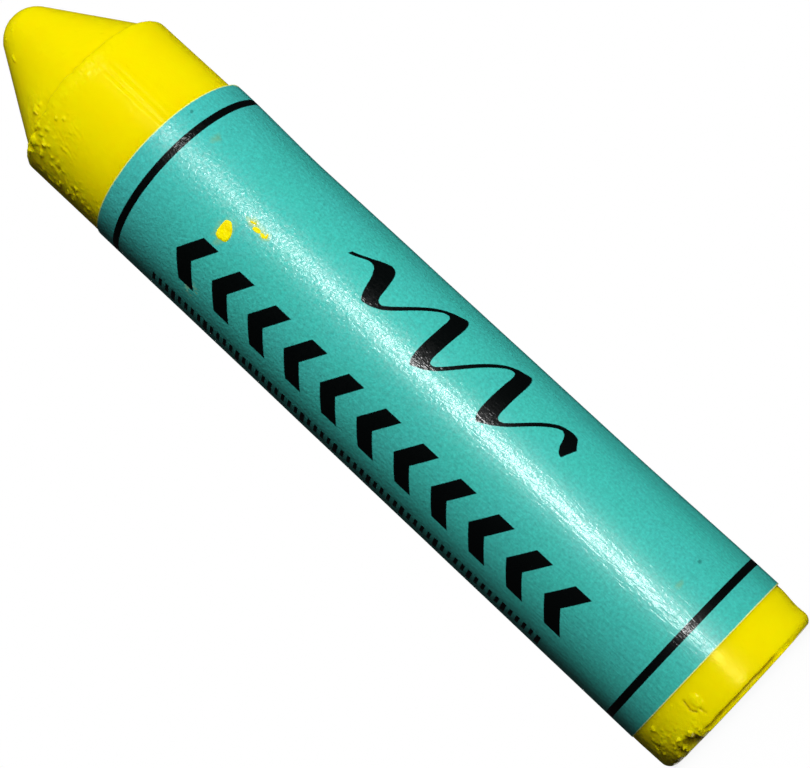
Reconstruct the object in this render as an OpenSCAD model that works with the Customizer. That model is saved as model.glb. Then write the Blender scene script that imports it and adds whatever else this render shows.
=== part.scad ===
// Wax marking stick: a cast stick of yellow wax with a blunt nose, in a paper
// label that is wrapped round its barrel once and pasted down on itself.
// The stick stands on its tail face. The origin is the centre of that face and
// +Z runs along the stick to the tip of its nose.

/* [Barrel] */
// Diameter of the bare wax
stick_d = 22; // [14:0.5:32]
// Length of the barrel, from the tail face to the nose's shoulder
barrel_l = 98.2; // [60:0.1:160]
// Radius of the rounded edge round the tail face
tail_round = 1.2; // [0.4:0.1:3]

/* [Nose] */
// Height of the step from the barrel down to the nose's side
shoulder_step = 0.7; // [0.3:0.05:2]
// Radius of the rounded edge on top of that step
shoulder_round = 0.25; // [0.05:0.05:0.3]
// Angle between the nose's side and the axis
nose_angle = 30; // [20:1:45]
// Radius of the blunt tip
tip_r = 4; // [1:0.1:6]

/* [Label] */
// Bare wax between the tail face and the label
tail_bare = 5.5; // [3:0.1:30]
// Bare wax between the label and the shoulder
nose_bare = 11.7; // [2:0.1:30]
// Thickness of the label's paper
paper_t = 0.1; // [0.05:0.01:0.3]
// Film of paste between the wax and the paper
paste_t = 0.02; // [0.01:0.01:0.1]
// Length of paper that lies on its own first layer
lap_l = 6; // [2:0.5:12]
// Place round the stick where the lap starts to rise, in degrees from +X
lap_angle = -22; // [-180:1:180]

/* [Wear] */
// Width of the largest bite out of the tail's edge
bite_w = 2.2; // [0.6:0.1:4]
// Depth of the flake that is gone from the side, just above the tail
flake_t = 0.2; // [0.1:0.05:0.5]
// Half the width of that flake
flake_r = 1.1; // [0.5:0.1:1.6]

/* [Hidden] */

stick_r = stick_d / 2;
nose_base_r = stick_r - shoulder_step;

// Centre of the tip's ball, which touches the nose's cone all round
tip_z = barrel_l + nose_base_r / tan(nose_angle) - tip_r / sin(nose_angle);

label_l = barrel_l - tail_bare - nose_bare;
sheet_r = stick_r + paste_t;
cover_r = sheet_r + paper_t;
lap_r = cover_r + paper_t;

// The sheet rises over its first layer's edge along a line of this angle round
rise_angle = acos(sheet_r / lap_r);
lap_from = lap_angle + rise_angle;
lap_to = lap_from + lap_l / lap_r * 180 / PI;

// Bites out of the tail's edge: place round the stick and size beside the largest
BITES = [[-131, 1], [-122, 0.6], [-143, 0.5], [-156, 0.35]];

// How far a bite's block is turned before it is pressed into the edge
BITE_TURN = [35, 40, 20];

// The flake: place round the stick and height above the tail face
FLAKE = [-111, 3];
flake_ball_r = (flake_r * flake_r + flake_t * flake_t) / (2 * flake_t);

// Flat steps in a quarter turn of a rounded edge
ROUND_STEPS = 10;

$fn = 96;

function at(r, angle) = [r * cos(angle), r * sin(angle)];

// Points along a round of radius r about c, from one angle to another
function round_points(c, r, from, to) =
    let (steps = max(2, ceil(abs(to - from) / 90 * ROUND_STEPS)))
    [for (i = [0 : steps]) c + at(r, from + (to - from) * i / steps)];

// Half the outline of the stick, from the tail's centre to the tip of the nose
module stick_outline() {
    polygon([
        [0, 0],
        each round_points([stick_r - tail_round, tail_round], tail_round, -90, 0),
        each round_points([stick_r, barrel_l] - [1, 1] * shoulder_round, shoulder_round, 0, 90),
        [nose_base_r, barrel_l],
        each round_points([0, tip_z], tip_r, nose_angle, 90)
    ]);
}

// An angular hollow in the tail's edge, as where a crumb of wax has broken out
module bite(place, size) {
    rotate([0, 0, place]) translate([stick_r, 0, 0]) rotate(BITE_TURN)
        cube(bite_w * size, center = true);
}

// A shallow round hollow in the side, flake_t deep and 2 * flake_r wide
module flake() {
    rotate([0, 0, FLAKE[0]])
        translate([stick_r - flake_t + flake_ball_r, 0, FLAKE[1]])
            sphere(flake_ball_r);
}

module wax_stick() {
    color("gold") difference() {
        rotate_extrude() stick_outline();
        for (b = BITES) bite(b[0], b[1]);
        flake();
    }
}

// The slice round the axis in which the label is two layers thick
module lap_slice() {
    polygon([
        [0, 0],
        at(sheet_r, lap_angle),
        at(lap_r + paper_t, lap_from),
        at(3 * lap_r, (lap_from + lap_to) / 2),
        at(lap_r + paper_t, lap_to)
    ]);
}

module paper_label() {
    color("mediumturquoise") translate([0, 0, tail_bare])
        linear_extrude(label_l) difference() {
            union() {
                circle(cover_r);
                intersection() {
                    circle(lap_r);
                    lap_slice();
                }
            }
            circle(sheet_r);
        }
}

wax_stick();
paper_label();
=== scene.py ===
"""Finished looks of a wax marking stick in its glossy paper label.

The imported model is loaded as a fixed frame. The cast wax, the wrapped label and
the crumbs of wax on it are then made as numpy surfaces around the same sizes and
are given their materials. Everything is in metres: the stick stands on its tail
face at the origin, and +Z runs to the tip of its nose. Angles round the stick are
in degrees from +X towards +Y, so -90 faces the camera.
"""

from __future__ import annotations

import logging
import math
from dataclasses import dataclass
from enum import Enum
from functools import reduce
from typing import Callable, Union

import bpy
import numpy as np
from mathutils import Matrix, Vector

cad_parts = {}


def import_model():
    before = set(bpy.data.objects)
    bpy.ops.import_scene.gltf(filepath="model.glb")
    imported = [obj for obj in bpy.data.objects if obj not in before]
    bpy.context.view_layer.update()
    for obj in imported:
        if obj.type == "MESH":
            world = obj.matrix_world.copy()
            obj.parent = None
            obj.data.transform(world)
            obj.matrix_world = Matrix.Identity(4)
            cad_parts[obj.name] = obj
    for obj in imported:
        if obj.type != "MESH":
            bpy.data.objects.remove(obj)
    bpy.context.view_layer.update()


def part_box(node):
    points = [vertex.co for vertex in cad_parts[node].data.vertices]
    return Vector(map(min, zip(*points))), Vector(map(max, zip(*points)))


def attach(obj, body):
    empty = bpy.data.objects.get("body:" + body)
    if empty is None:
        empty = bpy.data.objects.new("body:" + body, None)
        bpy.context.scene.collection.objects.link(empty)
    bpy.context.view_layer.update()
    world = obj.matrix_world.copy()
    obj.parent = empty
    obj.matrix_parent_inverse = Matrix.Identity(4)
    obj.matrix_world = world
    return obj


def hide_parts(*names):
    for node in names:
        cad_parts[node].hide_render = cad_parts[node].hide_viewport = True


MM = 0.001
NOISE_CELLS = 48

log = logging.getLogger("marking_stick")

Array = np.ndarray
Colour = tuple[float, float, float, float]
Value = Union["Channel", float, tuple]

WHITE: Colour = (1.0, 1.0, 1.0, 1.0)


# ---------------------------------------------------------------- surface maths


def smooth_step(x: Array) -> Array:
    """Return 3t^2 - 2t^3, where t is x held between 0 and 1."""
    t = np.clip(x, 0.0, 1.0)
    return t * t * (3.0 - 2.0 * t)


def hump(gap: Array, spread: float) -> Array:
    """Return exp(-(gap / spread)^2)."""
    return np.exp(-((gap / spread) ** 2))


def round_axis(radius: Array | float, turn: Array, height: Array | float) -> Array:
    """Return (radius * cos a, radius * sin a, height), for a turn a in radians."""
    parts = np.broadcast_arrays(radius * np.cos(turn), radius * np.sin(turn), height)
    return np.stack(parts, axis=-1)


def lattice_noise(points: Array, cell: float, seed: int, octaves: int = 1) -> Array:
    """Smooth seeded noise in space.

    Random heights stand on a repeating cubic lattice and are blended between its
    corners with 3t^2 - 2t^3. Each further octave halves the cell and the height.

    Args:
        points: Positions in metres, with the three axes last.
        cell: Side of the first octave's cells in metres.
        seed: Seed of the random heights.
        octaves: How many layers are added up.

    Returns:
        Heights from about -1 to 1, one for each position.
    """
    total = np.zeros(points.shape[:-1])
    weight, weights = 1.0, 0.0
    for octave in range(octaves):
        heights = np.random.default_rng(seed + octave).uniform(-1, 1, (NOISE_CELLS,) * 3)
        scaled = points * (2.0**octave / cell)
        low = np.floor(scaled).astype(np.int64)
        share = smooth_step(scaled - low)
        value = np.zeros_like(total)
        for corner in np.ndindex(2, 2, 2):
            index = (low + np.array(corner)) % NOISE_CELLS
            part = np.where(np.array(corner) == 1, share, 1.0 - share).prod(axis=-1)
            value += heights[index[..., 0], index[..., 1], index[..., 2]] * part
        total += weight * value
        weights += weight
        weight *= 0.5
    return total * 1.6 / weights


@dataclass(frozen=True)
class Ripple:
    """A layer of seeded noise on a surface.

    Attributes:
        cell: Size of its humps in metres.
        height: Height of its humps, in the unit of what it is added to.
        seed: Seed of its random heights.
        octaves: How many layers it has, each half as large as the last.
    """

    cell: float
    height: float
    seed: int
    octaves: int = 1

    def at(self, points: Array) -> Array:
        """Return the layer's height at each point."""
        return self.height * lattice_noise(points, self.cell, self.seed, self.octaves)


def angle_gap(a: Array, b: Array | float) -> Array:
    """Return a - b in degrees, turned into -180 to 180."""
    return (a - b + 180.0) % 360.0 - 180.0


def path_distance(across: Array, along: Array, path: Array) -> tuple[Array, Array]:
    """Distance of points on a flat sheet from a path of straight runs.

    Each run's nearest point is its start plus its length times the share t of the
    way along, with t held between 0 and 1; the nearest of all runs counts.

    Args:
        across: First coordinate of each point.
        along: Second coordinate of each point.
        path: The path's corners, one row each.

    Returns:
        The distance, and how far along the path the nearest point is, from 0 to 1.
    """
    best = np.full(across.shape, np.inf)
    place = np.zeros(across.shape)
    runs = len(path) - 1
    for number in range(runs):
        start, step = path[number], path[number + 1] - path[number]
        t = ((across - start[0]) * step[0] + (along - start[1]) * step[1]) / (step @ step)
        t = np.clip(t, 0.0, 1.0)
        gap = np.hypot(across - start[0] - t * step[0], along - start[1] - t * step[1])
        place = np.where(gap < best, (number + t) / runs, place)
        best = np.minimum(gap, best)
    return best, place


def turned(axis: int, degrees: float) -> Array:
    """Return the 3x3 matrix that turns by an angle about one of the axes."""
    c, s = math.cos(math.radians(degrees)), math.sin(math.radians(degrees))
    matrix = np.eye(3)
    i, j = [(1, 2), (2, 0), (0, 1)][axis]
    matrix[i, i], matrix[i, j], matrix[j, i], matrix[j, j] = c, -s, s, c
    return matrix


def numbered(rows: int, cols: int, first: int = 0) -> tuple[Array, Array]:
    """Return the point numbers of rings of points, and those one step round."""
    number = first + np.arange(rows * cols).reshape(rows, cols)
    return number, np.roll(number, -1, axis=1)


def corner_runs(*corners: Array) -> Array:
    """Return the corners of each face, side by side."""
    return np.stack(np.broadcast_arrays(*corners), axis=-1).reshape(-1, len(corners))


def add_object(name: str, data: bpy.types.ID) -> bpy.types.Object:
    """Return a new object for a mesh, lamp or camera, linked to the scene."""
    made = bpy.data.objects.new(name, data)
    bpy.context.scene.collection.objects.link(made)
    return made


def stand(holder: bpy.types.Object, place: Vector, axes: tuple[Vector, Vector, Vector]) -> None:
    """Put a lamp or a camera at a place, with its own X, Y and Z along the axes."""
    holder.matrix_world = Matrix.Translation(place) @ Matrix(axes).transposed().to_4x4()


def build_mesh(
    name: str,
    points: Array,
    quads: Array,
    triangles: Array | None = None,
    crease: float = 180.0,
) -> bpy.types.Object:
    """Put worked-out points and faces into a smooth-shaded mesh object.

    Args:
        name: Name of the object and of its mesh.
        points: Positions in metres, one row each.
        quads: Four point numbers a row, seen anticlockwise from outside.
        triangles: Three point numbers a row, if there are any.
        crease: Edges that turn by more than this angle in degrees stay sharp.

    Returns:
        The new object, linked to the scene.
    """
    if triangles is None:
        triangles = np.zeros((0, 3), np.int64)
    mesh = bpy.data.meshes.new(name)
    mesh.vertices.add(len(points))
    mesh.vertices.foreach_set("co", np.ascontiguousarray(points, np.float32).ravel())
    corners = np.concatenate([quads.ravel(), triangles.ravel()])
    mesh.loops.add(len(corners))
    mesh.loops.foreach_set("vertex_index", corners.astype(np.int32))
    quad_starts = np.arange(len(quads)) * 4
    starts = np.concatenate([quad_starts, quads.size + np.arange(len(triangles)) * 3])
    mesh.polygons.add(len(starts))
    mesh.polygons.foreach_set("loop_start", starts.astype(np.int32))
    mesh.polygons.foreach_set("use_smooth", np.ones(len(starts), bool))
    mesh.update(calc_edges=True)
    mesh.validate()
    if crease < 180.0:
        mesh.set_sharp_from_angle(angle=math.radians(crease))
    return add_object(name, mesh)


def add_point_vectors(piece: bpy.types.Object, name: str, values: Array) -> None:
    """Store three numbers on each point of a piece, for its material to read."""
    layer = piece.data.attributes.new(name, "FLOAT_VECTOR", "POINT")
    layer.data.foreach_set("vector", np.ascontiguousarray(values, np.float32).ravel())


# -------------------------------------------------------------- material graphs


def sum_sign(operation: str, swapped: bool = False) -> Callable[[Channel, Value], Channel]:
    """Make the method of an arithmetic sign.

    Args:
        operation: The Math node's operation.
        swapped: Whether the channel stands on the sign's right.

    Returns:
        A method that adds one Math node and returns its result.
    """

    def method(self: Channel, other: Value) -> Channel:
        """Return the result for this channel and another value."""
        pair = (other, self) if swapped else (self, other)
        return self.graph.math(operation, *pair)

    return method


class Channel:
    """A value in a material that takes part in ordinary arithmetic."""

    __add__, __radd__ = sum_sign("ADD"), sum_sign("ADD", swapped=True)
    __sub__, __rsub__ = sum_sign("SUBTRACT"), sum_sign("SUBTRACT", swapped=True)
    __mul__, __rmul__ = sum_sign("MULTIPLY"), sum_sign("MULTIPLY", swapped=True)
    __truediv__, __rtruediv__ = sum_sign("DIVIDE"), sum_sign("DIVIDE", swapped=True)
    __pow__ = sum_sign("POWER")
    wrapped = sum_sign("FLOORED_MODULO")
    higher_of = sum_sign("MAXIMUM")

    def __init__(self, graph: Graph, socket: bpy.types.NodeSocket) -> None:
        """Keep the graph and the output socket that carries the value."""
        self.graph = graph
        self.socket = socket

    def __abs__(self) -> Channel:
        """Return the value without its sign."""
        return self.graph.math("ABSOLUTE", self)

    def sine(self) -> Channel:
        """Return the sine of an angle in radians."""
        return self.graph.math("SINE", self)

    def cosine(self) -> Channel:
        """Return the cosine of an angle in radians."""
        return self.graph.math("COSINE", self)

    def held(self) -> Channel:
        """Return the value held between 0 and 1."""
        return self.graph.clamp(self)

    def above(self, edge: Value, soft: float) -> Channel:
        """Return 0 below an edge and 1 above it, with a soft change."""
        return ((self - edge) / soft + 0.5).held()

    def below(self, edge: Value, soft: float) -> Channel:
        """Return 1 below an edge and 0 above it, with a soft change."""
        return ((edge - self) / soft + 0.5).held()

    def between(self, low: Value, high: Value, soft: float) -> Channel:
        """Return 1 between two edges and 0 outside them, with soft changes."""
        return self.above(low, soft) * self.below(high, soft)


class Graph:
    """The node graph of one material or of the world."""

    def __init__(self, tree: bpy.types.NodeTree) -> None:
        """Take over a node tree and empty it."""
        self.tree = tree
        self.tree.nodes.clear()

    def node(
        self,
        kind: str,
        settings: dict[str, object] | None = None,
        sockets: dict[str | int, Value] | None = None,
    ) -> bpy.types.Node:
        """Add one node.

        Args:
            kind: The node's type.
            settings: Its options, which are set first.
            sockets: Values or channels for its inputs, by name or number.

        Returns:
            The new node.
        """
        made = self.tree.nodes.new(kind)
        for name, setting in (settings or {}).items():
            setattr(made, name, setting)
        for name, value in (sockets or {}).items():
            if isinstance(value, Channel):
                self.tree.links.new(value.socket, made.inputs[name])
            else:
                made.inputs[name].default_value = value
        return made

    def out(self, made: bpy.types.Node, name: str | int = 0) -> Channel:
        """Return one output of a node as a channel."""
        return Channel(self, made.outputs[name])

    def math(self, operation: str, *values: Value) -> Channel:
        """Return the result of one Math node."""
        made = self.node("ShaderNodeMath", {"operation": operation}, dict(enumerate(values)))
        return self.out(made)

    def clamp(self, value: Value) -> Channel:
        """Return a value held between 0 and 1."""
        return self.out(self.node("ShaderNodeClamp", sockets={0: value}))

    def vector(self, x: Value, y: Value, z: Value) -> Channel:
        """Return three values joined into a vector."""
        return self.out(self.node("ShaderNodeCombineXYZ", sockets={0: x, 1: y, 2: z}))

    def parts(self, vector: Channel) -> tuple[Channel, Channel, Channel]:
        """Return the three values of a vector."""
        made = self.node("ShaderNodeSeparateXYZ", sockets={0: vector})
        return self.out(made, 0), self.out(made, 1), self.out(made, 2)

    def stretch(self, vector: Channel, scale: tuple[float, float, float]) -> Channel:
        """Return a vector with each part multiplied by its own number."""
        made = self.node("ShaderNodeVectorMath", {"operation": "MULTIPLY"}, {0: vector, 1: scale})
        return self.out(made)

    def noise(
        self,
        vector: Channel,
        scale: float,
        detail: float = 2.0,
        rough: float = 0.5,
        warp: float = 0.0,
    ) -> Channel:
        """Add a Noise Texture.

        Args:
            vector: The place to read it at.
            scale: Its waves in a unit of that place.
            detail: Octaves on top of the first.
            rough: Height of each octave as a share of the one before.
            warp: How far the pattern is bent.

        Returns:
            Its height, about 0.5 on average.
        """
        sockets: dict[str | int, Value] = {
            "Vector": vector,
            "Scale": scale,
            "Detail": detail,
            "Roughness": rough,
            "Distortion": warp,
        }
        return self.out(self.node("ShaderNodeTexNoise", sockets=sockets), 0)

    def cells(self, vector: Channel, scale: float) -> Channel:
        """Return the distance given by a Voronoi Texture."""
        sockets: dict[str | int, Value] = {"Vector": vector, "Scale": scale}
        return self.out(self.node("ShaderNodeTexVoronoi", sockets=sockets), "Distance")

    def mix(self, factor: Value, first: Value, second: Value, blend: str = "MIX") -> Channel:
        """Return two colours mixed by a factor."""
        settings = {"data_type": "RGBA", "blend_type": blend}
        return self.out(self.node("ShaderNodeMix", settings, {0: factor, 6: first, 7: second}), 2)

    def bump(self, height: Channel, distance: float, under: Channel | None = None) -> Channel:
        """Return a normal turned by a height that rises over a distance in metres."""
        sockets: dict[str | int, Value] = {"Height": height, "Distance": distance, "Strength": 1.0}
        if under is not None:
            sockets["Normal"] = under
        return self.out(self.node("ShaderNodeBump", sockets=sockets))

    def emission(self, strength: float) -> Channel:
        """Return a white glow."""
        sockets: dict[str | int, Value] = {"Color": WHITE, "Strength": strength}
        return self.out(self.node("ShaderNodeEmission", sockets=sockets))

    def seen(self, path: bpy.types.Node) -> Channel:
        """Return 1 for rays of the camera, of reflections and through clear pieces."""
        rays = ("Is Camera Ray", "Is Glossy Ray", "Is Transmission Ray")
        camera, glossy, clear = (self.out(path, ray) for ray in rays)
        return (camera + glossy + clear).held()


def new_material(name: str) -> tuple[bpy.types.Material, Graph]:
    """Return a new node material and its emptied graph."""
    material = bpy.data.materials.new(name)
    material.use_nodes = True
    return material, Graph(material.node_tree)


def finish_material(graph: Graph, surface: Channel) -> None:
    """Send a shader to the material's surface output."""
    graph.node("ShaderNodeOutputMaterial", sockets={"Surface": surface})


def dress(piece: bpy.types.Object, material: bpy.types.Material) -> None:
    """Put one material on a whole piece."""
    piece.data.materials.clear()
    piece.data.materials.append(material)


# --------------------------------------------------------------------- finishes


@dataclass(frozen=True)
class WaxFinish:
    """Cast yellow marking wax: soft gloss, bruises, dust, a grainy skin and painted shade in its
    cracks.

    Attributes:
        body: Colour of the clean wax.
        warm: Colour of its warmer clouds, mostly where a label has rubbed it.
        bruised: Colour where the wax has been crushed or scraped.
        dirt: Colour of dust and dark specks pressed into it.
        recess_shade: Colour of the painted shade inside cracks, broken places and behind the
            shoulder.
        gloss_roughness: Roughness of the clean skin.
        specular: Specular level of the skin.
        sheen_tint: Colour of the skin's soft gloss.
        inner_glow: Share of the light that travels through the wax.
        glow_reach: How far that light travels, for red.
    """

    body: Colour = (0.94, 0.80, 0.0, 1.0)
    warm: Colour = (0.93, 0.74, 0.0, 1.0)
    bruised: Colour = (1.0, 0.89, 0.002, 1.0)
    dirt: Colour = (0.22, 0.16, 0.01, 1.0)
    # Colour of painted shade in cracks, broken places and behind the shoulder.
    recess_shade: Colour = (0.3, 0.22, 0.0, 1.0)
    gloss_roughness: float = 0.18
    specular: float = 0.42
    sheen_tint: Colour = (1.0, 0.88, 0.22, 1.0)
    inner_glow: float = 0.5
    glow_reach: float = 3.0 * MM

    def _colour(self, graph: Graph, place: Channel, wear_and_shade: tuple[Channel, ...]) -> Channel:
        """Return the wax's colour with its clouds, scuffs, grain, specks and painted shade."""
        crushed, rubbed, painted_shade = wear_and_shade
        clouds = self._clouds(graph, place)
        colour = graph.mix((clouds * 0.28 + rubbed * 0.45).held(), self.body, self.warm)
        scuffs = graph.noise(graph.stretch(place, (1.0, 1.0, 0.35)), 1300.0, 4.0, 0.6)
        colour = graph.mix((crushed * scuffs.above(0.46, 0.2)).held(), colour, self.bruised)
        grain = graph.noise(place, 2600.0).above(0.6, 0.3)
        colour = graph.mix((grain * 0.1).held(), colour, self.warm)
        specks = graph.cells(place, 210.0).below(0.07, 0.05)
        sparse = graph.noise(place, 90.0, 1.0).above(0.53, 0.05)
        colour = graph.mix((specks * sparse * 0.55).held(), colour, self.dirt)
        # Painted shade: cracks, broken facets and the crevice behind the shoulder turn towards the
        # shade colour.
        return graph.mix(painted_shade, colour, self.recess_shade)

    def _clouds(self, graph: Graph, place: Channel) -> Channel:
        """Return large soft patches where the wax is warmer and less smooth."""
        return graph.noise(place, 260.0, 3.0, 0.55).above(0.56, 0.22)

    def _relief(self, graph: Graph, place: Channel, crushed: Channel) -> Channel:
        """Return the normal: a wavy skin, pits, crumbs where crushed, and grain."""
        skin = graph.bump(graph.noise(place, 520.0, 3.0), 0.02 * MM)
        pits = graph.cells(graph.stretch(place, (1.0, 1.0, 0.8)), 640.0).above(0.16, 0.12)
        pits = pits * graph.noise(place, 150.0, 1.0).above(0.5, 0.1)
        pitted = graph.bump(pits, 0.015 * MM, skin)
        crumbs = graph.noise(place, 1900.0, 4.0, 0.62, 0.3) + graph.cells(place, 1500.0) * 0.4
        broken = graph.bump(crumbs * crushed, 0.12 * MM, pitted)
        return graph.bump(graph.noise(place, 3300.0, 2.0, 0.6), 0.012 * MM, broken)

    def material(self, name: str) -> bpy.types.Material:
        """Build the wax material, which reads Object coordinates and the point attribute of worn
        places and painted shade.

        Args:
            name: Name of the material.

        Returns:
            The finished material.
        """
        material, graph = new_material(name)
        place = graph.out(graph.node("ShaderNodeTexCoord"), "Object")
        wear_and_shade = graph.out(graph.node("ShaderNodeAttribute", {"attribute_name": "wear_and_shade"}), "Vector")
        crushed, rubbed, painted_shade = graph.parts(wear_and_shade)
        roughness = self.gloss_roughness + crushed * 0.16 + self._clouds(graph, place) * 0.08
        shader = graph.node(
            "ShaderNodeBsdfPrincipled",
            sockets={
                "Base Color": self._colour(graph, place, (crushed, rubbed, painted_shade)),
                "Roughness": (roughness + painted_shade * 0.6).held(),
                "Specular IOR Level": self.specular,
                "Specular Tint": self.sheen_tint,
                "Diffuse Roughness": 0.8,
                "Subsurface Weight": self.inner_glow,
                "Subsurface Radius": (1.0, 0.8, 0.05),
                "Subsurface Scale": self.glow_reach,
                "Normal": self._relief(graph, place, crushed),
            },
        )
        finish_material(graph, graph.out(shader))
        return material


@dataclass(frozen=True)
class Mark:
    """An uneven spot on the label, in millimetres on the unrolled sheet.

    Attributes:
        centre: Its place round the stick and above the tail face.
        radii: Half its width and half its height.
        strength: How strong it is, where 1 is full.
    """

    centre: tuple[float, float]
    radii: tuple[float, float]
    strength: float = 1.0

    def mask(self, across: Channel, height: Channel, wobble: Channel) -> Channel:
        """Return the mask of the spot, with a soft edge that a noise moves."""
        x = (across - self.centre[0]) / self.radii[0]
        y = (height - self.centre[1]) / self.radii[1]
        edge = (x * x + y * y) ** 0.5 + (wobble - 0.5) * 1.8
        return edge.below(0.9, 0.9) * self.strength


@dataclass(frozen=True)
class LabelLayout:
    """Where the label's printing lies, in millimetres on the unrolled sheet.

    The first coordinate runs round the stick from the line that faces the camera,
    towards +X. The second is the height above the tail face.

    Attributes:
        rules: Lowest and highest edge of each black rule.
        chevrons: Lowest and highest end of the row of arrowheads.
        chevron_pitch: Distance from one arrowhead to the next.
        chevron_centre: Place of the row's centre line.
        chevron_half: Half of the row's width.
        chevron_lean: Rise of an arrowhead's arm towards its point.
        soft: Width over which the ink's edges fade.
        ticks: Lowest and highest end of the scale of fine lines.
        tick_band: Inner and outer edge of that scale.
        wave: Lowest and highest end of the brushed wave.
        wave_centre: Place of the wave's centre line.
        wave_lean: How far the wave's strokes lean.
        wave_turns: How many times it swings.
        blue_light_from: Height from which a painted bluish light is laid over the ground.
        edges: Heights of the paper's cut edges.
        scuffs: Where the printing is scratched thin.
        stains: Greasy spots.
        hazes: Thin films of wax.
        specks: Dark specks.
        tears: Where the surface is torn off at the upper edge.
    """

    rules: tuple[tuple[float, float], ...] = ((8.19, 9.1), (83.07, 83.98))
    chevrons: tuple[float, float] = (18.4, 78.6)
    chevron_pitch: float = 5.45
    chevron_centre: float = -6.5
    chevron_half: float = 3.1
    chevron_lean: float = 0.62
    soft: float = 0.08
    ticks: tuple[float, float] = (19.0, 78.0)
    tick_band: tuple[float, float] = (-14.0, -12.3)
    wave: tuple[float, float] = (30.0, 62.0)
    wave_centre: float = 6.6
    wave_lean: float = 0.32
    wave_turns: float = 3.5
    blue_light_from: float = 81.0
    edges: tuple[float, float] = (5.35, 86.45)
    scuffs: tuple[Mark, ...] = (Mark((-9.5, 72.7), (0.9, 1.2)),)
    stains: tuple[Mark, ...] = (Mark((5.6, 81.4), (0.7, 0.45)), Mark((4.1, 12.4), (0.55, 0.35)))
    hazes: tuple[Mark, ...] = (
        Mark((1.5, 71.5), (0.5, 0.95)),
        Mark((1.25, 69.7), (0.5, 0.7)),
        Mark((-1.35, 73.25), (1.4, 0.9), 0.5),
    )
    specks: tuple[Mark, ...] = (
        Mark((5.97, 85.6), (0.22, 0.2)),
        Mark((7.8, 12.55), (0.25, 0.2)),
        Mark((16.4, 86.35), (0.6, 0.4), 1.8),
    )
    tears: tuple[Mark, ...] = (Mark((15.7, 86.6), (1.1, 0.4)),)


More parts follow.
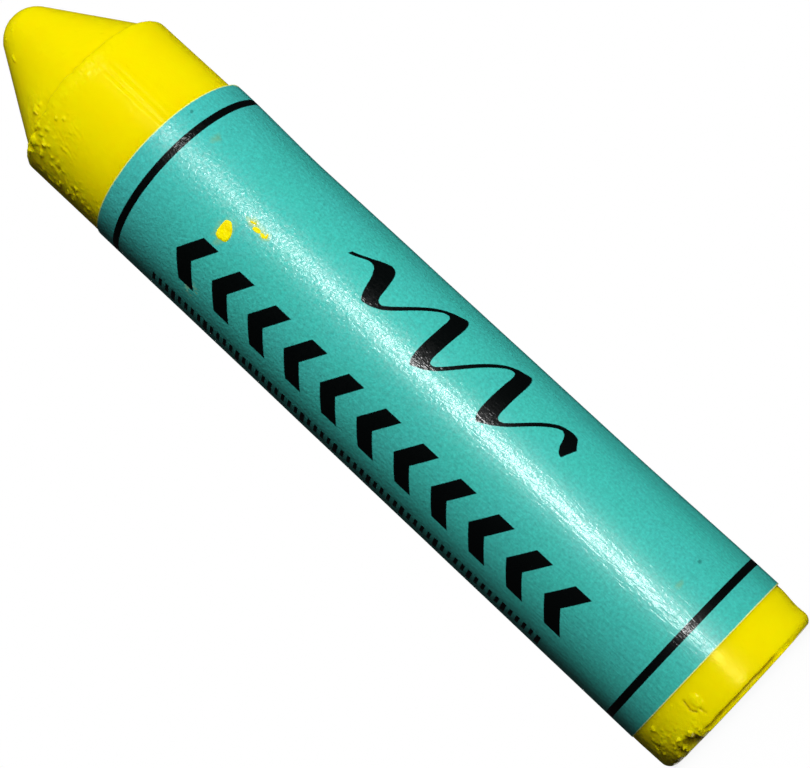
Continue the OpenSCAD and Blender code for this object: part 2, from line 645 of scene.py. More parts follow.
@dataclass(frozen=True)
class LabelFinish:
    """Printed label paper with a glossy coat that has wrinkled finely.

    Attributes:
        teal: Colour of the printed ground.
        bluish: Colour of its slightly bluer areas, which is also laid near the upper edge as a
            painted bluish light.
        ink: Colour of the black printing.
        paper: Colour of the bare paper at cut edges, on the back and where torn, made a bright
            yellow-green so that the cut edges show a painted bright line.
        stain: Colour of greasy yellow-green stains.
        smear: Colour of a thin film of wax over the printing.
        scuff: Colour of the printing where it is scratched thin.
        layout: Where the printing lies.
        gloss_roughness: Roughness of the coat between its wrinkles.
        sheen: Strength of the broad glow over it.
        sheen_roughness: Roughness of that glow.
        sheen_ior: Index of refraction that gives that glow its brightness.
        wrinkle_height: Height of the coat's wrinkles.
    """

    teal: Colour = (0.052, 0.56, 0.478, 1.0)
    bluish: Colour = (0.062, 0.545, 0.508, 1.0)
    ink: Colour = (0.001, 0.002, 0.002, 1.0)
    paper: Colour = (0.86, 0.95, 0.26, 1.0)
    stain: Colour = (0.25, 0.36, 0.06, 1.0)
    smear: Colour = (0.5, 0.56, 0.04, 1.0)
    scuff: Colour = (0.42, 0.85, 0.52, 1.0)
    layout: LabelLayout = LabelLayout()
    gloss_roughness: float = 0.2
    sheen: float = 0.75
    sheen_roughness: float = 0.42
    sheen_ior: float = 1.8
    wrinkle_height: float = 0.06 * MM

    def _rules(self, height: Channel) -> Channel:
        """Return the mask of the two black rules."""
        masks = [height.between(low, high, 0.06) for low, high in self.layout.rules]
        return masks[0] + masks[1]

    def _chevrons(self, across: Channel, height: Channel) -> Channel:
        """Return the mask of the arrowheads, which all point to the nose."""
        plan = self.layout
        aside = abs(across - plan.chevron_centre)
        raised = height + aside * plan.chevron_lean
        phase = (raised - plan.chevrons[0]).wrapped(plan.chevron_pitch)
        stroke = phase.between(1.2, 3.5, plan.soft)
        inside = aside.below(plan.chevron_half, plan.soft)
        return stroke * inside * raised.between(*plan.chevrons, 0.05)

    def _ticks(self, across: Channel, height: Channel) -> Channel:
        """Return the mask of a plain scale: fine lines, with longer ones between."""
        plan = self.layout
        fine = (height - plan.ticks[0]).wrapped(1.0).between(0.26, 0.74, plan.soft)
        longer = (height - plan.ticks[0]).wrapped(5.0).between(0.2, 0.8, plan.soft)
        low, high = plan.tick_band
        band = across.between(low, high, plan.soft) * fine
        tall = across.between(low - 0.8, high, plan.soft) * longer
        return band.higher_of(tall) * height.between(*plan.ticks, 0.05)

    def _wave(self, across: Channel, height: Channel) -> Channel:
        """Return the mask of a brushed wave, broad downwards and thin upwards.

        The centre line is a leaning sine whose height swells and dies away. The
        stroke's half width follows the sign of the line's slope.
        """
        plan = self.layout
        low, high = plan.wave
        lean = height + (across - plan.wave_centre) * plan.wave_lean
        share = ((lean - low) / (high - low)).held()
        swell = (share * math.pi).sine() ** 0.55 * (4.6 - 1.5 * share)
        full_turn = 2.0 * math.pi * plan.wave_turns
        turn = share * full_turn
        line = swell * turn.sine() + plan.wave_centre
        steep = turn.cosine()
        slope = abs(swell * steep) * (full_turn / (high - low))
        away = abs(across - line) / (1.0 + slope * slope) ** 0.5
        half = 0.28 + 0.72 * steep.above(0.1, 1.0)
        return away.below(half, plan.soft) * lean.between(low, high, 0.1)

    def _marks(
        self, marks: tuple[Mark, ...], across: Channel, height: Channel, wobble: Channel
    ) -> Channel:
        """Return the strongest of several marks."""
        masks = (mark.mask(across, height, wobble) for mark in marks)
        return reduce(Channel.higher_of, masks)

    def _ground(
        self, sheet: Channel, across: Channel, height: Channel, wobble: Channel
    ) -> Channel:
        """Return the teal ground with its grain, scuffs, stains, films of wax and a painted bluish
        light near the upper edge.
        """
        graph, plan = sheet.graph, self.layout
        clouds = graph.noise(sheet, 0.22).above(0.6, 0.5)
        ground = graph.mix(clouds * 0.6, self.teal, self.bluish)
        # Painted light: the ground turns bluish towards the upper edge.
        ground = graph.mix(height.above(plan.blue_light_from, 14.0) * 0.8, ground, self.bluish)
        tone = 0.55 + graph.noise(sheet, 2.8, 3.0, 0.7) * 0.9
        ground = graph.mix(1.0, ground, graph.vector(tone, tone, tone), "MULTIPLY")
        lines = graph.noise(graph.stretch(sheet, (1.0, 0.5, 1.0)), 3.4).above(0.56, 0.05)
        scuffs = self._marks(plan.scuffs, across, height, wobble) * lines
        ground = graph.mix(scuffs * 0.8, ground, self.scuff)
        stains = self._marks(plan.stains, across, height, wobble)
        ground = graph.mix(stains * 0.34, ground, self.stain)
        hazes = self._marks(plan.hazes, across, height, wobble)
        return graph.mix(hazes * 0.7, ground, self.smear)

    def _height_map(self, sheet: Channel, height: Channel) -> Channel:
        """Return the fine wrinkles of the coat.

        Near the tail they are creases that run along the stick, and towards the
        nose they turn into a net of small shallow cells.
        """
        graph = sheet.graph
        long_creases = graph.noise(graph.stretch(sheet, (1.0, 0.22, 1.0)), 2.6, 1.0, 0.5, 0.6)
        cross_creases = graph.noise(graph.stretch(sheet, (1.0, 0.62, 1.0)), 3.0, 0.0, 0.5, 0.5)
        net = graph.noise(sheet, 2.6, 1.0, 0.5, 0.3)
        to_nose = ((height - 12.0) / 52.0).held()
        creases = long_creases * (0.62 - to_nose * 0.25) + cross_creases * 0.2
        return creases + net * (0.2 + to_nose * 0.8)

    def material(self, name: str) -> bpy.types.Material:
        """Build the label material, which reads the "sheet" attribute in millimetres.

        Args:
            name: Name of the material.

        Returns:
            The finished material.
        """
        material, graph = new_material(name)
        sheet = graph.out(graph.node("ShaderNodeAttribute", {"attribute_name": "sheet"}), "Vector")
        across, height, side = graph.parts(sheet)
        wobble = graph.noise(sheet, 1.6, 3.0)
        place = across, height, wobble

        printed = self._rules(height).higher_of(self._chevrons(across, height))
        printed = printed.higher_of(self._ticks(across, height))
        printed = printed.higher_of(self._wave(across, height))
        printed = printed.higher_of(self._marks(self.layout.specks, *place) * 0.45)
        colour = graph.mix(printed.held(), self._ground(sheet, *place), self.ink)

        ragged = height + (graph.noise(sheet, 3.2) - 0.5) * 0.14
        low, high = self.layout.edges
        cut = ragged.above(high, 0.06).higher_of(ragged.below(low, 0.06))
        torn = self._marks(self.layout.tears, *place) * 0.8
        bare = cut.higher_of(side.below(0.97, 0.04)).higher_of(torn)
        # The bare paper's bright yellow-green is partly a painted bright line along the cut edges.
        colour = graph.mix(bare.held(), colour, self.paper)

        wrinkles = graph.bump(self._height_map(sheet, height), self.wrinkle_height)
        shimmer = graph.noise(sheet, 2.7, 2.0, 0.6, 0.5).above(0.5, 0.22)
        patchy = 0.16 + ((height - 28.0) / 26.0).held() * 0.84
        coat = (self.sheen + (shimmer - 0.5) * patchy * 0.9) * (1.0 - printed * 0.8) - bare * 0.7
        shader = graph.node(
            "ShaderNodeBsdfPrincipled",
            sockets={
                "Base Color": colour,
                "Roughness": (self.gloss_roughness + bare * 0.4).held(),
                "Specular IOR Level": 0.5,
                "Coat Weight": coat.held(),
                "Coat Roughness": self.sheen_roughness,
                "Coat IOR": self.sheen_ior,
                "Normal": wrinkles,
            },
        )
        finish_material(graph, graph.out(shader))
        return material


# ------------------------------------------------------------------ wax details


class Form(Enum):
    """Shape of a broken-out or stuck-on bit of wax."""

    BLOCK = "block"
    BALL = "ball"


@dataclass(frozen=True)
class Crumb:
    """A bit of wax that is missing from the surface, or stuck on it.

    Attributes:
        angle: Place round the stick in degrees.
        height: Height of its centre above the tail face in millimetres.
        reach: Distance of its centre from the axis in millimetres.
        size: Its sides, or its ball's diameters, in millimetres.
        tilt: Turns about its own X, Y and Z in degrees.
        form: Block or ball.
    """

    angle: float
    height: float
    reach: float
    size: tuple[float, float, float]
    tilt: tuple[float, float, float] = (0.0, 0.0, 0.0)
    form: Form = Form.BLOCK

    def depth(self, points: Array, direction: Array) -> Array:
        """Distance from each point to where it leaves the bit along a direction.

        In the bit's own axes, a block is left at the nearest of its six planes,
        (half side - sign * position) / |direction|. A ball is left at the larger
        root of |position + t * direction| = 1, with each axis divided by its half.

        Args:
            points: Positions in metres.
            direction: Unit directions, one for each position.

        Returns:
            The distance in metres, and 0 for points outside the bit.
        """
        own = turned(2, self.angle) @ turned(2, self.tilt[2])
        own = own @ turned(1, self.tilt[1]) @ turned(0, self.tilt[0])
        axis = math.radians(self.angle)
        centre = np.array([self.reach * math.cos(axis), self.reach * math.sin(axis), self.height])
        half = np.array(self.size) / 2.0
        place = ((points / MM - centre) @ own) / half
        way = (direction @ own) / half
        if self.form is Form.BLOCK:
            safe = np.where(np.abs(way) < 1e-9, 1e-9, way)
            leave = ((np.sign(safe) - place) / safe).min(axis=-1)
            inside = (np.abs(place) < 1.0).all(axis=-1)
            return np.where(inside, leave, 0.0) * MM
        a, b = (way * way).sum(-1), (way * place).sum(-1)
        c = (place * place).sum(-1) - 1.0
        leave = (-b + np.sqrt(np.maximum(b * b - a * c, 0.0))) / a
        return np.where(c < 0.0, leave, 0.0) * MM


@dataclass(frozen=True)
class Scratch:
    """A groove with a raised edge, along a path over the wax.

    Attributes:
        path: Its corners, each an angle round the stick and a height in mm.
        depth: Depth of the groove in millimetres.
        width: Half of its width in millimetres.
        lip: Height of the ridge beside it in millimetres.
    """

    path: tuple[tuple[float, float], ...]
    depth: float
    width: float
    lip: float = 0.0

    def relief(self, angle: Array, height: Array, radius: float) -> Array:
        """Lift of the surface, -depth in the groove's middle and + lip beside it.

        The groove is -depth * exp(-d / width), with a sharp bottom, and the ridge is
        lip * exp(-((d - 2 width) / width)^2), where d is the distance from the path.
        The path is made ragged by noise, and both fade out over its first and last
        tenth.

        Args:
            angle: Angles round the stick in degrees.
            height: Heights above the tail face in metres.
            radius: Radius that turns an angle into an arc, in metres.

        Returns:
            The lift in metres.
        """
        middle = self.path[len(self.path) // 2][0]
        arc = np.radians(angle_gap(angle, middle)) * radius / MM
        corners = np.array([[math.radians(a - middle) * radius / MM, z] for a, z in self.path])
        flat = np.stack([arc, height / MM, 0.0 * arc], axis=-1) * MM
        wander = 0.4 * self.width * lattice_noise(flat, 0.8 * MM, 19, 2)
        gap, share = path_distance(arc, height / MM + wander, corners)
        fade = smooth_step(share / 0.1) * smooth_step((1.0 - share) / 0.1)
        fade = np.where(gap < 5.0 * self.width, fade, 0.0)
        groove = -self.depth * np.exp(-gap / self.width)
        ridge = self.lip * hump(gap - 2.0 * self.width, self.width)
        return (groove + ridge) * fade * MM


@dataclass(frozen=True)
class WaxPatch:
    """An area where the wax is crumbled and dented, or where painted shade is laid on it.

    Attributes:
        angle: Its centre round the stick in degrees.
        height: Its centre above the tail face in millimetres.
        spread: How far it reaches round, in degrees, and along, in millimetres.
        amount: How rough it is, or how dark the painted shade is, from 0 to 1.
    """

    angle: float
    height: float
    spread: tuple[float, float]
    amount: float

    def weight(self, angle: Array, height: Array) -> Array:
        """Return amount * exp(-(round^2 + along^2)), each over its spread."""
        x = angle_gap(angle, self.angle) / self.spread[0]
        y = (height / MM - self.height) / self.spread[1]
        return self.amount * np.exp(-(x * x + y * y))


# ---------------------------------------------------------------- the wax stick


@dataclass
class WaxStick:
    """The cast stick of wax, with its worn shoulder, tail edge and tip.

    Attributes:
        radius: Radius of the bare barrel.
        barrel: Length from the tail face to the shoulder.
        tail_round: Radius of the rounded edge round the tail face.
        step: Height of the shoulder's step.
        step_round: Radius on top of that step.
        nose_angle: Angle between the nose's side and the axis, in degrees.
        tip_radius: Radius of the blunt tip.
        covered: Lowest and highest height that the label covers.
        tucked: How far under the label the finely drawn wax reaches.
        around: Points round the stick.
        dense: Angle at which those points lie closest together.
        crowding: How far points are moved towards that angle, in degrees.
        crack_z: Height of the crack along the tail's edge.
        lip_height: How far the flange under the crack stands out.
        lip_width: How thick that flange is.
        missing: Bits that have broken out.
        stuck: Bits that are stuck on.
        scratches: Cracks and drawn lines.
        patches: Crumbled areas.
        shade_patches: Places painted darker as shade, on broken facets and the lower corner of the
            tail edge.
        crest: Angle and rise in millimetres of points along the shoulder's edge.
        stuck_chatter: Unevenness of stuck bits, as a share of their height.
        cut_chatter: Unevenness of broken places, as a share of their depth.
        dents: Wide dents of crumbled wax, in millimetres.
        bends: How the creases between them are bent, in metres.
        creases: Those creases, in millimetres.
        grit: Where fine crumbs stand on it.
        skin: Slow unevenness of the whole casting, in millimetres.
        ragged: Raggedness of the shoulder's edge.
        stray: How the edges of the painted shade patches stray.
        shade: Unevenness of the painted dark line of shade behind the shoulder.
    """

    radius: float
    barrel: float = 98.2 * MM
    tail_round: float = 1.15 * MM
    step: float = 0.7 * MM
    step_round: float = 0.25 * MM
    nose_angle: float = 30.0
    tip_radius: float = 4.0 * MM
    covered: tuple[float, float] = (5.5 * MM, 86.5 * MM)
    tucked: float = 0.6 * MM
    around: int = 360
    dense: float = -118.0
    crowding: float = 24.0
    crack_z: float = 0.48 * MM
    lip_height: float = 0.68 * MM
    lip_width: float = 0.15 * MM

    missing: tuple[Crumb, ...] = (
        Crumb(-131.0, -0.15, 11.0, (2.2, 2.2, 2.2), (35.0, 40.0, 20.0)),
        Crumb(-127.0, 0.05, 11.25, (1.6, 1.8, 1.6), (20.0, 48.0, 35.0)),
        Crumb(-121.5, 0.5, 11.3, (1.0, 1.0, 0.9), (40.0, 20.0, 15.0)),
        Crumb(-134.5, 0.4, 11.25, (1.5, 1.7, 1.5), (50.0, 30.0, 12.0)),
        Crumb(-140.5, 0.6, 11.25, (1.4, 1.2, 1.3), (25.0, 50.0, 30.0)),
        Crumb(-143.0, 0.1, 10.9, (1.2, 1.2, 1.2), (35.0, 40.0, 20.0)),
        Crumb(-156.0, 0.1, 10.8, (0.9, 0.9, 0.9), (35.0, 40.0, 20.0)),
        Crumb(-153.4, 2.85, 11.15, (0.7, 0.8, 0.8), (30.0, 20.0, 40.0)),
        Crumb(-33.6, -0.1, 10.9, (0.9, 1.0, 0.8), (30.0, 35.0, 10.0)),
        Crumb(-120.5, 98.35, 11.2, (1.1, 0.9, 1.0), (35.0, 20.0, 30.0)),
        Crumb(-145.0, 97.6, 11.35, (1.3, 1.5, 1.0), (30.0, 40.0, 15.0)),
        Crumb(-134.5, 97.9, 11.2, (0.7, 0.9, 0.7), (20.0, 35.0, 40.0)),
        Crumb(-150.5, 90.75, 11.2, (0.7, 1.0, 0.8), (30.0, 35.0, 20.0)),
        Crumb(-144.0, 93.4, 11.15, (0.7, 0.8, 0.7), (15.0, 35.0, 50.0)),
        Crumb(60.0, 0.1, 10.9, (1.6, 1.9, 1.3), (25.0, 40.0, 15.0)),
        Crumb(148.0, 98.3, 11.1, (1.6, 1.2, 1.2), (30.0, 25.0, 30.0)),
        Crumb(24.0, 98.4, 11.1, (1.0, 1.3, 0.9), (40.0, 30.0, 10.0)),
    )
    stuck: tuple[Crumb, ...] = (
        Crumb(-139.5, 97.5, 10.85, (0.9, 1.3, 1.1), (20.0, 0.0, 30.0), Form.BALL),
        Crumb(-150.5, 97.6, 10.8, (0.8, 0.9, 0.9), (0.0, 30.0, 0.0), Form.BALL),
        Crumb(-128.0, 97.7, 10.7, (0.9, 0.8, 0.8), form=Form.BALL),
        Crumb(-125.5, 96.4, 10.8, (0.7, 0.9, 0.8), (20.0, 30.0, 10.0), Form.BALL),
        Crumb(-131.5, 96.9, 10.8, (0.7, 0.7, 0.7), (20.0, 30.0, 10.0), Form.BALL),
        Crumb(-135.0, 96.2, 10.85, (0.6, 0.9, 0.6), (30.0, 20.0, 50.0), Form.BLOCK),
        Crumb(-143.0, 96.0, 10.85, (0.6, 0.8, 0.5), (10.0, 40.0, 20.0), Form.BLOCK),
        Crumb(-115.8, 96.3, 10.9, (0.4, 0.7, 0.5), (30.0, 20.0, 50.0), Form.BALL),
        Crumb(-142.3, 4.4, 10.9, (0.5, 0.6, 0.5), (30.0, 20.0, 40.0), Form.BLOCK),
        Crumb(-125.6, 1.35, 10.9, (0.6, 0.6, 0.5), (40.0, 20.0, 10.0)),
        Crumb(-119.6, 0.85, 10.85, (0.5, 0.6, 0.45), (20.0, 30.0, 40.0)),
        Crumb(-137.2, 0.75, 10.75, (0.6, 0.7, 0.5), (50.0, 10.0, 30.0)),
        Crumb(-131.2, 0.75, 10.6, (0.6, 0.5, 0.5), (30.0, 40.0, 15.0)),
        Crumb(-134.0, 1.75, 10.9, (0.4, 0.5, 0.4), (30.0, 10.0, 55.0)),
        Crumb(-113.0, 95.5, 10.92, (0.4, 0.6, 0.5), (10.0, 30.0, 40.0), Form.BALL),
        Crumb(-107.3, 109.8, 3.55, (0.4, 0.6, 0.35), (0.0, 20.0, 20.0), Form.BALL),
        Crumb(-132.0, 109.9, 3.5, (0.4, 0.5, 0.35), (0.0, 20.0, 20.0), Form.BALL),
        Crumb(-129.3, 107.1, 5.17, (0.35, 0.35, 1.3), (0.0, -30.0, 0.0), Form.BALL),
        Crumb(-127.0, 99.5, 9.5, (0.4, 0.7, 0.9), (20.0, -30.0, 10.0)),
        Crumb(-121.0, 99.4, 9.55, (0.3, 0.6, 0.7), (10.0, -30.0, 30.0)),
        Crumb(-153.5, 91.1, 10.95, (0.3, 0.45, 0.4), (10.0, 20.0, 30.0), Form.BLOCK),
        Crumb(-146.0, 90.4, 10.95, (0.35, 0.55, 0.4), (10.0, 0.0, 30.0), Form.BLOCK),
        Crumb(-108.6, 3.1, 10.6, (1.04, 1.9, 3.3), form=Form.BALL),
        Crumb(101.0, 94.0, 10.85, (0.6, 1.0, 0.8), (10.0, 20.0, 30.0), Form.BALL),
    )
    scratches: tuple[Scratch, ...] = (
        Scratch(
            (
                (-56.0, 0.36), (-69.0, 0.38), (-84.0, 0.42), (-97.4, 0.44),
                (-107.0, 0.48), (-112.8, 0.44), (-120.5, 0.62),
            ),
            0.24,
            0.14,
        ),  # fmt: skip
        Scratch(
            ((-113.6, 4.3), (-114.3, 3.5), (-114.9, 2.97), (-114.3, 2.6), (-112.6, 2.15)),
            0.24,
            0.09,
        ),
        Scratch(((-110.4, 2.45), (-110.2, 1.9), (-109.8, 1.45)), 0.16, 0.08),
        Scratch(((-75.6, 96.2), (-75.4, 91.0), (-75.6, 86.2)), 0.045, 0.3, 0.03),
        Scratch(((-70.2, 96.0), (-71.0, 91.5), (-72.0, 86.2)), 0.045, 0.3, 0.03),
        Scratch(((-121.0, 95.6), (-126.0, 93.4), (-129.0, 91.9)), 0.05, 0.12, 0.04),
        Scratch(((-112.0, 94.6), (-114.5, 92.6)), 0.04, 0.12, 0.03),
        Scratch(((70.0, 97.0), (76.0, 93.0), (79.0, 89.0)), 0.05, 0.15, 0.04),
        Scratch(((155.0, 4.6), (168.0, 3.4), (176.0, 3.0)), 0.05, 0.14, 0.03),
    )
    patches: tuple[WaxPatch, ...] = (
        WaxPatch(-137.0, 95.8, (20.0, 3.2), 1.0),
        WaxPatch(-152.0, 92.0, (15.0, 5.5), 0.8),
        WaxPatch(-118.0, 94.5, (13.0, 2.2), 0.55),
        WaxPatch(-100.0, 97.2, (32.0, 1.0), 0.7),
        WaxPatch(-128.0, 100.0, (14.0, 1.8), 0.7),
        WaxPatch(-140.0, 1.8, (20.0, 2.4), 1.0),
        WaxPatch(-125.0, 110.0, (40.0, 1.8), 0.35),
        WaxPatch(80.0, 2.0, (40.0, 2.0), 0.4),
        WaxPatch(120.0, 96.0, (45.0, 2.2), 0.5),
    )
    # Painted shade: darker places on broken facets and on the lower corner of the tail edge.
    shade_patches: tuple[WaxPatch, ...] = (
        WaxPatch(-104.4, 0.62, (3.4, 0.22), 0.7),
        WaxPatch(-125.6, 0.6, (2.8, 0.42), 0.85),
        WaxPatch(-129.5, 0.35, (4.5, 0.4), 0.6),
        WaxPatch(-133.0, 1.0, (3.0, 0.42), 0.85),
        WaxPatch(-139.5, 1.05, (2.4, 0.4), 0.75),
        WaxPatch(-150.0, 1.2, (15.0, 1.5), 0.4),
        WaxPatch(-153.2, 2.8, (2.2, 0.4), 0.6),
    )
    crest: tuple[tuple[float, float], ...] = (
        (-180.0, 0.02), (-158.0, 0.0), (-139.0, -0.08), (-126.0, -0.12), (-118.0, -0.38),
        (-111.0, -0.06), (-107.0, 0.1), (-95.0, -0.05), (-77.0, -0.09), (-55.0, 0.06),
        (-34.0, 0.17), (0.0, 0.08), (40.0, -0.08), (80.0, 0.06), (125.0, -0.14), (150.0, 0.04),
        (180.0, 0.02),
    )  # fmt: skip
    stuck_chatter: Ripple = Ripple(0.5 * MM, 0.3, 11)
    cut_chatter: Ripple = Ripple(0.4 * MM, 0.12, 17)
    dents: Ripple = Ripple(1.3 * MM, 0.045, 3, 2)
    bends: Ripple = Ripple(0.9 * MM, 0.35 * MM, 27)
    creases: Ripple = Ripple(0.62 * MM, 0.09, 13, 2)
    grit: Ripple = Ripple(0.45 * MM, 1.0, 5, 2)
    skin: tuple[Ripple, ...] = (Ripple(3.2 * MM, 0.012, 7, 3), Ripple(14.0 * MM, 0.03, 9))
    ragged: Ripple = Ripple(0.75 * MM, 1.0, 21, 2)
    stray: Ripple = Ripple(0.45 * MM, 1.0, 33, 2)
    shade: Ripple = Ripple(0.8 * MM, 1.0, 43, 2)

    def outline(self) -> Array:
        """Half outline of the stick from the tail's centre to its tip.

        Straight runs are start + (end - start) * t. Rounds are
        centre + radius * (cos a, sin a) between two angles.

        Returns:
            Distance from the axis and height above the tail face, one row each.
        """
        base = self.radius - self.step
        rise = math.radians(self.nose_angle)
        tip_z = self.barrel + base / math.tan(rise) - self.tip_radius / math.sin(rise)
        low, high = self.covered[0] + self.tucked, self.covered[1] - self.tucked
        top = self.barrel - self.step_round

        def run(start: tuple[float, float], end: tuple[float, float], steps: int) -> Array:
            """Return points of a straight run without its last one."""
            t = np.arange(steps)[:, None] / steps
            return np.array(start) + (np.array(end) - np.array(start)) * t

        def arc(
            centre: tuple[float, float], radius: float, start: float, end: float, steps: int
        ) -> Array:
            """Return points of a round without its last one, angles in degrees."""
            a = np.radians(start + (end - start) * np.arange(steps) / steps)
            return np.array(centre) + radius * np.stack([np.cos(a), np.sin(a)], axis=-1)

        flat = self.radius - self.tail_round
        touch = (self.tip_radius * math.cos(rise), tip_z + self.tip_radius * math.sin(rise))
        runs = [
            run((0.0, 0.0), (flat * 0.8, 0.0), 6),
            run((flat * 0.8, 0.0), (flat, 0.0), 6),
            arc((flat, self.tail_round), self.tail_round, -90.0, 0.0, 26),
            run((self.radius, self.tail_round), (self.radius, low), 44),
            run((self.radius, low), (self.radius, high), 8),
            run((self.radius, high), (self.radius, top), 78),
            arc((self.radius - self.step_round, top), self.step_round, 0.0, 90.0, 5),
            run((self.radius - self.step_round, self.barrel), (base, self.barrel), 4),
            run((base, self.barrel), touch, 66),
            arc((0.0, tip_z), self.tip_radius, self.nose_angle, 90.0, 22),
            np.array([[0.0, tip_z + self.tip_radius]]),
        ]
        return np.concatenate(runs)

    def _broken(self, points: Array, normals: Array) -> Array:
        """Return how far the missing and stuck bits move each point outwards."""
        cut = np.zeros(points.shape[:-1])
        lift = np.zeros(points.shape[:-1])
        for crumb in self.missing:
            cut = np.maximum(cut, crumb.depth(points, -normals))
        for crumb in self.stuck:
            lift = np.maximum(lift, crumb.depth(points, normals))
        lift = lift * (1.0 + self.stuck_chatter.at(points))
        return lift - cut * (1.0 + self.cut_chatter.at(points))

    def _roughness(self, points: Array, angle: Array) -> tuple[Array, Array]:
        """Crumbled skin: dents plus small crumbs where the noise is high.

        Args:
            points: Positions in metres.
            angle: Their angles round the stick in degrees.

        Returns:
            The lift in metres and how crushed the wax is, from 0 to 1.
        """
        rough = np.zeros(angle.shape)
        for patch in self.patches:
            rough = np.maximum(rough, patch.weight(angle, points[..., 2]))
        bent = points + self.bends.at(points)[..., None]
        creases = np.maximum(0.022 - np.abs(self.creases.at(bent)), -0.035)
        dents = self.dents.at(points) + creases
        grit = np.maximum(self.grit.at(points) - 0.35, 0.0) * 0.3
        skin = sum(layer.at(points) for layer in self.skin)
        return ((dents + grit) * rough + skin) * MM, rough

    def _flange(self, angle: Array, r: Array, z: Array) -> Array:
        """Squarer tail edge with a thin flange, as a shift away from the axis.

        Above the crack the round is filled out to the barrel's radius. Below it the
        flange is height * exp(-((z - 0.03 mm) / width)^2). Both fade out sideways.

        Args:
            angle: Angles round the stick in degrees.
            r: Distances from the axis in metres.
            z: Heights above the tail face in metres.

        Returns:
            The shift in metres.
        """
        reach = smooth_step((angle + 120.0) / 5.0) * smooth_step((-30.0 - angle) / 30.0)
        filled = (self.radius - r) * smooth_step((z - self.crack_z) / (0.16 * MM))
        lip = self.lip_height * hump(z - 0.03 * MM, self.lip_width)
        lip = lip * smooth_step((r - 8.5 * MM) / MM)
        return reach * (filled * (z < self.tail_round) + lip)

    def _swell(self, angle: Array, r: Array, z: Array) -> Array:
        """Slow changes of the cast shape, as sums of smooth humps.

        The wax swells against the label's lower edge on the +X side, the tail edge
        is full there and worn on the other side, and the nose is a little fuller.
        A hump is exp(-(gap / spread)^2).

        Args:
            angle: Angles round the stick in degrees.
            r: Distances from the axis in metres.
            z: Heights above the tail face in metres.

        Returns:
            The lift in metres.
        """
        fore = hump(angle_gap(angle, 2.0), 45.0)
        aft = hump(angle_gap(angle, -172.0), 36.0)
        edge = np.exp(-(((r - 10.55 * MM) ** 2 + (z - 0.45 * MM) ** 2) / (0.85 * MM) ** 2))
        full = smooth_step((z - 2.0 * MM) / (2.6 * MM)) * smooth_step((9.0 * MM - z) / MM)
        nose = smooth_step((z - self.barrel) / (2.0 * MM)) * (z > self.barrel)
        fore_lift = fore * (0.12 * edge + 0.23 * full)
        return (fore_lift + aft * (0.03 * nose + 0.05 * full - 0.1 * edge)) * MM

    def _waves(self, turn: Array) -> Array:
        """Return how far the shoulder's edge rises and falls, in metres."""
        places, rises = np.array(self.crest).T
        ring = round_axis(self.radius, np.radians(turn), 0.0)
        crumbly = 0.04 + 0.13 * hump(angle_gap(turn, -100.0), 38.0)
        ragged = self.ragged.at(ring) * crumbly
        return np.interp(turn, places, rises, period=360.0) * MM + ragged * MM

    def _wear_and_shade(
        self, points: Array, angle: Array, z: Array, rough: Array, broken: Array, grooves: Array
    ) -> Array:
        """Three numbers on each point that the finish reads, the last of them painted shade.

        Args:
            points: Finished positions in metres.
            angle: Their angles round the stick in degrees.
            z: Heights of the outline's rows in metres, before any relief.
            rough: How crumbled the wax is, from 0 to 1.
            broken: Lift of the stuck and missing bits in metres.
            grooves: Lift of the scratches in metres.

        Returns:
            How crushed, how rubbed by the label and how much painted shade lies in cracks, broken
            facets and behind the shoulder, with these last.
        """
        crushed = np.clip(rough * 0.8 + np.maximum(broken, 0.0) / (0.15 * MM), 0.0, 1.0)
        crushed = crushed * (1.0 - 0.7 * np.clip(-broken / (0.2 * MM), 0.0, 1.0))
        # Painted shade in cracks and broken places, darker the further in they lie, and weaker
        # towards the nose.
        recess_shade = np.maximum(-grooves, -0.45 * broken) - 0.03 * MM
        painted_shade = np.clip(recess_shade / (0.22 * MM), 0.0, 0.8)
        painted_shade = painted_shade * (1.0 - 0.7 * smooth_step((z - 0.5 * self.barrel) / (8.0 * MM)))
        # Painted shade on broken facets and on the lower corner of the tail edge, with straying
        # edges.
        shift = self.stray.at(points)
        for patch in self.shade_patches:
            weight = patch.weight(angle + 2.0 * shift, points[..., 2] + 0.16 * MM * shift)
            share = smooth_step((weight / patch.amount - 0.3) / 0.35)
            painted_shade = np.maximum(painted_shade, patch.amount * share)
        # A painted dark line of shade in the crevice just behind the shoulder's edge.
        ring = round_axis(self.radius, np.radians(angle[0]), 0.0)
        crest_shade = 0.32 + 0.3 * np.clip(self.shade.at(ring), 0.0, 1.0)
        shoulder = self.barrel + 0.2 * MM + self._waves(angle[0])
        behind = hump(points[..., 2] - shoulder, 0.16 * MM)
        painted_shade = np.maximum(painted_shade, crest_shade * behind * (z > self.barrel))
        low, high = self.covered
        rubbed = hump(z - high, 1.6 * MM) + 0.5 * hump(z - low, 0.8 * MM)
        return np.stack(np.broadcast_arrays(crushed, rubbed, painted_shade), axis=-1)

